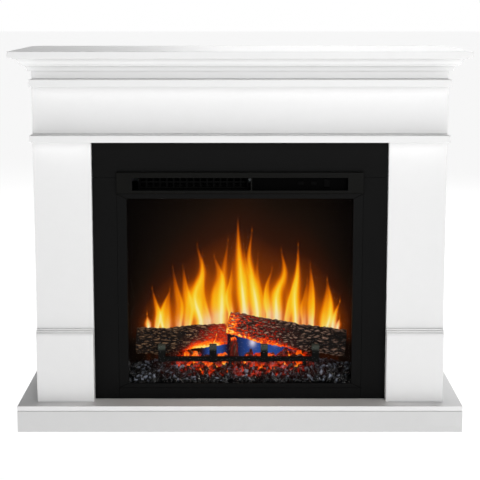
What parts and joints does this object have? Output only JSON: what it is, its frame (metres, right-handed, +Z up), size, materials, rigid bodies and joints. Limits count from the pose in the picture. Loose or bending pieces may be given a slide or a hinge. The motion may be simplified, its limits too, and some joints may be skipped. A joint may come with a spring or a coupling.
{
  "type": "electric fireplace",
  "caption": "Free-standing electric fire: white mantel surround with plinths, banded frieze and coved shelf around a black glass-fronted insert with logs, embers, flame screen and fan heater.",
  "frame": {"origin": "on the floor, in the middle of the footprint", "axes": "+Z up, -Y out of the glass towards the room, +Y towards the wall, +X to the right seen from the room"},
  "size_m": [1.108, 0.386, 0.938],
  "materials": {
    "lacquered_mdf": "white satin lacquer on fibreboard",
    "hardboard": "bare hardboard",
    "black_steel": "matt black powder coat",
    "hood_plastic": "satin black",
    "tinted_glass": "clear polished",
    "flame_screen": "translucent screen lit from behind with a flame picture",
    "log_bark": "moulded resin with bark relief, lit from inside",
    "charred_log": "charred resin, lit from inside",
    "coal": "black glassy chips, lit from below at the middle",
    "grate_iron": "matt black",
    "zinc_sheet": "zinc-plated sheet",
    "mirror_foil": "mirror foil",
    "circuit_board": "green solder mask",
    "black_plastic": "fine satin",
    "heater_ceramic": "matt ceramic"
  },
  "bodies": {
    "root": {"hearth_board": "lacquered_mdf", "hearth_front_rail": "lacquered_mdf", "hearth_rail_left": "lacquered_mdf", "hearth_rail_right": "lacquered_mdf", "pilaster_left": "lacquered_mdf", "pilaster_right": "lacquered_mdf", "plinth_left": "lacquered_mdf", "plinth_right": "lacquered_mdf", "plinth_moulding_left": "lacquered_mdf", "plinth_moulding_right": "lacquered_mdf", "jamb_left": "lacquered_mdf", "jamb_right": "lacquered_mdf", "side_panel_left": "lacquered_mdf", "side_panel_right": "lacquered_mdf", "lower_band": "lacquered_mdf", "lintel_board": "lacquered_mdf", "frieze_board": "lacquered_mdf", "upper_band": "lacquered_mdf", "crown_backing": "lacquered_mdf", "crown_front": "lacquered_mdf", "crown_left": "lacquered_mdf", "crown_right": "lacquered_mdf", "mantel_shelf": "lacquered_mdf", "back_panel_left": "hardboard", "back_panel_right": "hardboard", "back_panel_top": "hardboard", "surround_top": "black_steel", "surround_bottom": "black_steel", "surround_left": "black_steel", "surround_right": "black_steel", "glass_frame_top": "black_steel", "glass_frame_bottom": "black_steel", "glass_frame_left": "black_steel", "glass_frame_right": "black_steel", "firebox_floor": "black_steel", "firebox_ceiling": "black_steel", "firebox_wall_left": "black_steel", "firebox_wall_right": "black_steel", "chassis_top": "black_steel", "outlet_hood": "hood_plastic", "glass_pane": "tinted_glass", "flame_screen": "flame_screen", "log_left": "log_bark", "log_right": "log_bark", "log_stump": "charred_log", "ember_bed": "coal", "log_grate": "grate_iron", "chassis_back": "zinc_sheet", "blower_housing": "zinc_sheet", "flicker_motor": "zinc_sheet", "blower_motor": "zinc_sheet", "led_board": "circuit_board", "control_panel": "black_plastic", "cable_gland": "black_plastic", "heater_element": "heater_ceramic"},
    "flicker_rotor": {"flicker_rotor": "mirror_foil"},
    "blower_impeller": {"blower_impeller": "black_plastic"},
    "button_flame": {"button_flame": "black_plastic"},
    "button_heat": {"button_heat": "black_plastic"},
    "power_rocker": {"power_rocker": "black_plastic"}
  },
  "joints": [
    {"name": "flicker_rotor_spin", "type": "hinge", "parent": "root", "child": "flicker_rotor", "pos_m": [0, 0.0725, 0.136], "axis": [1, 0, 0], "continuous": true},
    {"name": "blower_spin", "type": "hinge", "parent": "root", "child": "blower_impeller", "pos_m": [-0.115, -0.049, 0.6125], "axis": [1, 0, 0], "continuous": true},
    {"name": "button_flame_press", "type": "slide", "parent": "root", "child": "button_flame", "axis": [0, 1, 0], "range_m": [0, 0.002], "stiffness_N_per_m": 200},
    {"name": "button_heat_press", "type": "slide", "parent": "root", "child": "button_heat", "axis": [0, 1, 0], "range_m": [0, 0.002], "stiffness_N_per_m": 200},
    {"name": "power_rocker_tilt", "type": "hinge", "parent": "root", "child": "power_rocker", "pos_m": [0.214, -0.12025, 0.6125], "axis": [1, 0, 0], "range_deg": [0, 12]}
  ]
}
